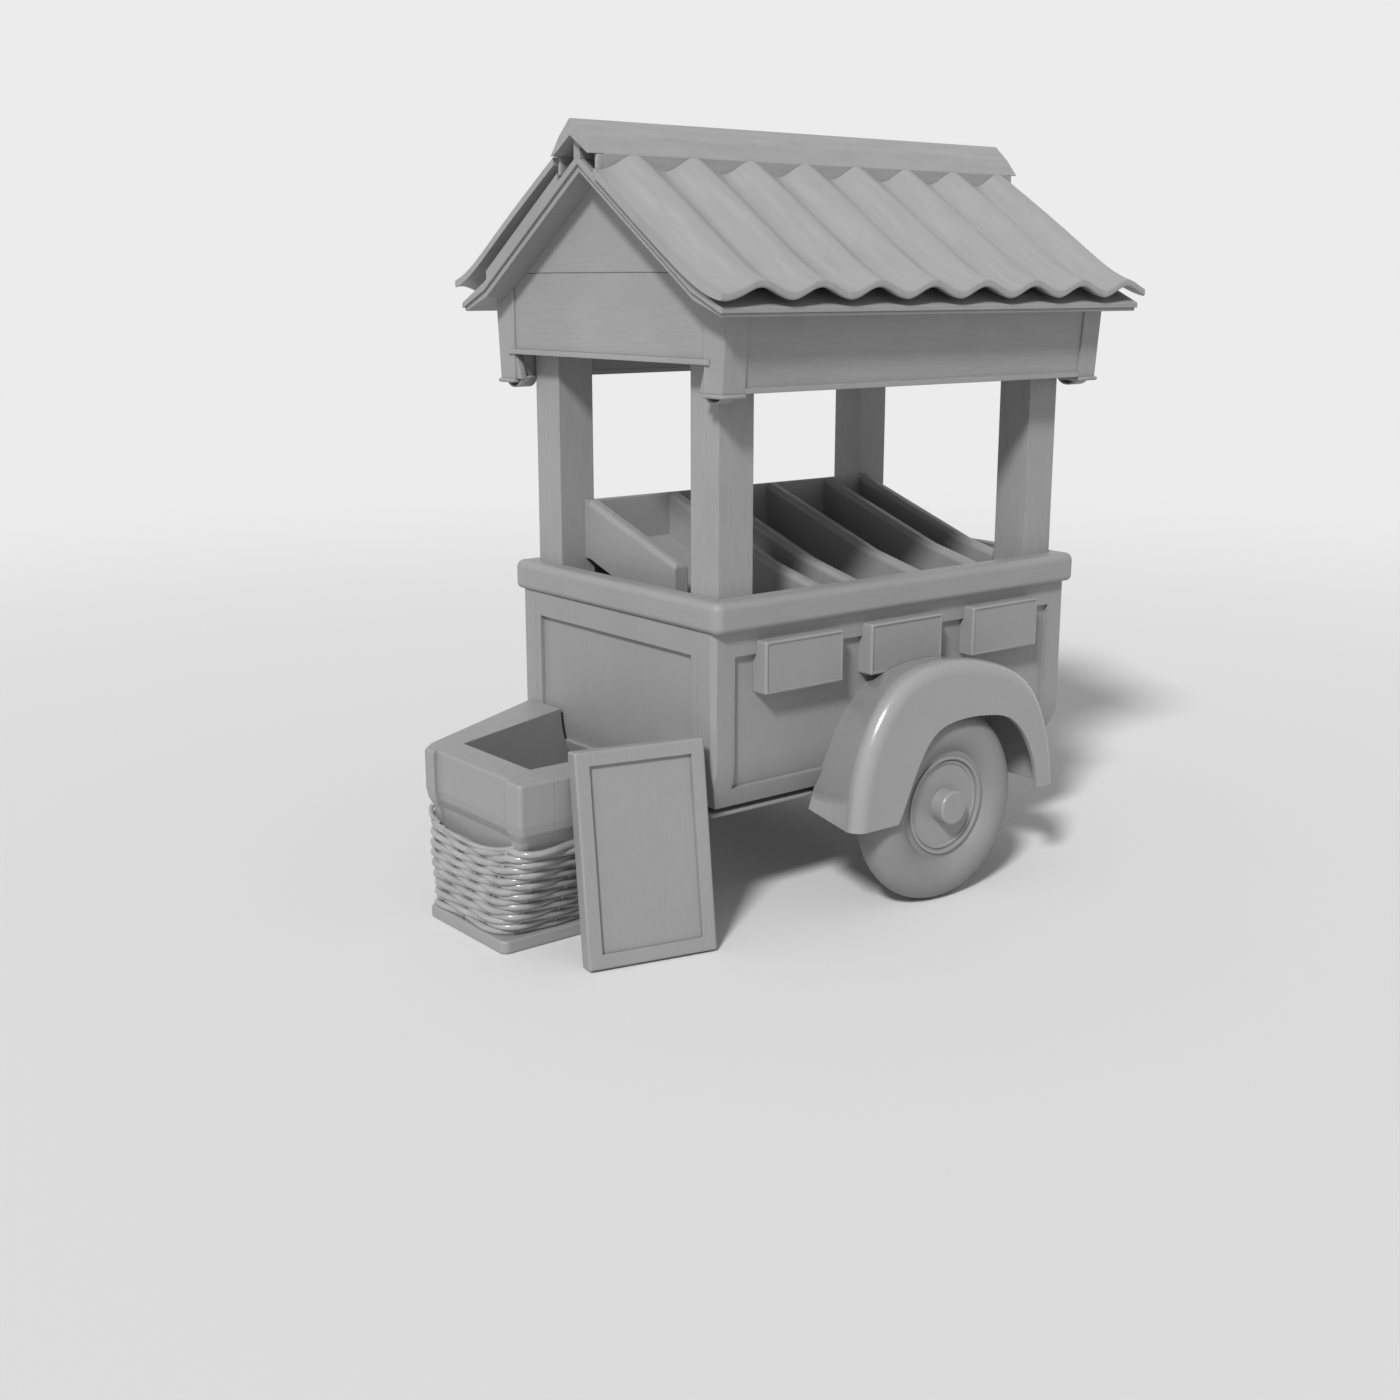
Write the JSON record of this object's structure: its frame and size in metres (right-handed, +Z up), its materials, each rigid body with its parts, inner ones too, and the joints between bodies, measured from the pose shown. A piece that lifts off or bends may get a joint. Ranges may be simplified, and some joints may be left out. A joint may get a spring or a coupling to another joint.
{
  "type": "wheeled farm stand",
  "caption": "Roofed farm stand on two wheels, with sloping display bins, price boxes, a corrugated gable roof, and a crate with a wicker band at its front end.",
  "frame": {"origin": "centre of the stand's footprint at ground level", "axes": "+X to the stand's rear end, +Y to its right side, +Z up"},
  "size_m": [2.219, 1.472, 2.306],
  "materials": {
    "painted_wood": "painted, worn satin",
    "plain_timber": "weathered, matte",
    "roof_metal": "satin, weathered",
    "fender_metal": "gloss",
    "axle_steel": "matte",
    "tyre_rubber": "matte",
    "wheel_metal": "satin",
    "wicker": "varnished cane"
  },
  "bodies": {
    "cart": {"tub_side_left": "painted_wood", "tub_side_right": "painted_wood", "tub_end_front": "painted_wood", "tub_end_rear": "painted_wood", "tub_stiles": "painted_wood", "tub_floor": "painted_wood", "tub_skid": "painted_wood", "rim_sides": "painted_wood", "rim_ends": "painted_wood", "bin_back": "painted_wood", "bin_floor": "painted_wood", "bin_ends": "painted_wood", "bin_dividers": "painted_wood", "price_boxes": "painted_wood", "crate_front": "painted_wood", "crate_left": "painted_wood", "crate_right": "painted_wood", "crate_base": "painted_wood", "board_frame": "painted_wood", "board_panel": "painted_wood", "posts": "plain_timber", "roof_plates": "plain_timber", "valance_boards": "plain_timber", "corner_boards": "plain_timber", "gable_lower": "plain_timber", "gable_upper": "plain_timber", "gable_trims": "plain_timber", "soffit_left": "plain_timber", "soffit_right": "plain_timber", "roof_deck_left": "plain_timber", "roof_deck_right": "plain_timber", "ridge_board": "plain_timber", "roof_sheet_left": "roof_metal", "roof_sheet_right": "roof_metal", "ridge_cap": "roof_metal", "fender_left": "fender_metal", "fender_right": "fender_metal", "axle": "axle_steel", "wicker_band": "wicker"},
    "wheel_left": {"tyre_left": "tyre_rubber", "wheel_disc_left": "wheel_metal", "hubcap_left": "wheel_metal"},
    "wheel_right": {"tyre_right": "tyre_rubber", "wheel_disc_right": "wheel_metal", "hubcap_right": "wheel_metal"}
  },
  "joints": [
    {"name": "wheel_left_spin", "type": "hinge", "parent": "cart", "child": "wheel_left", "pos_m": [0.2345, -0.645, 0.305], "axis": [0, 1, 0], "continuous": true},
    {"name": "wheel_right_spin", "type": "hinge", "parent": "cart", "child": "wheel_right", "pos_m": [0.2345, 0.645, 0.305], "axis": [0, 1, 0], "continuous": true}
  ]
}
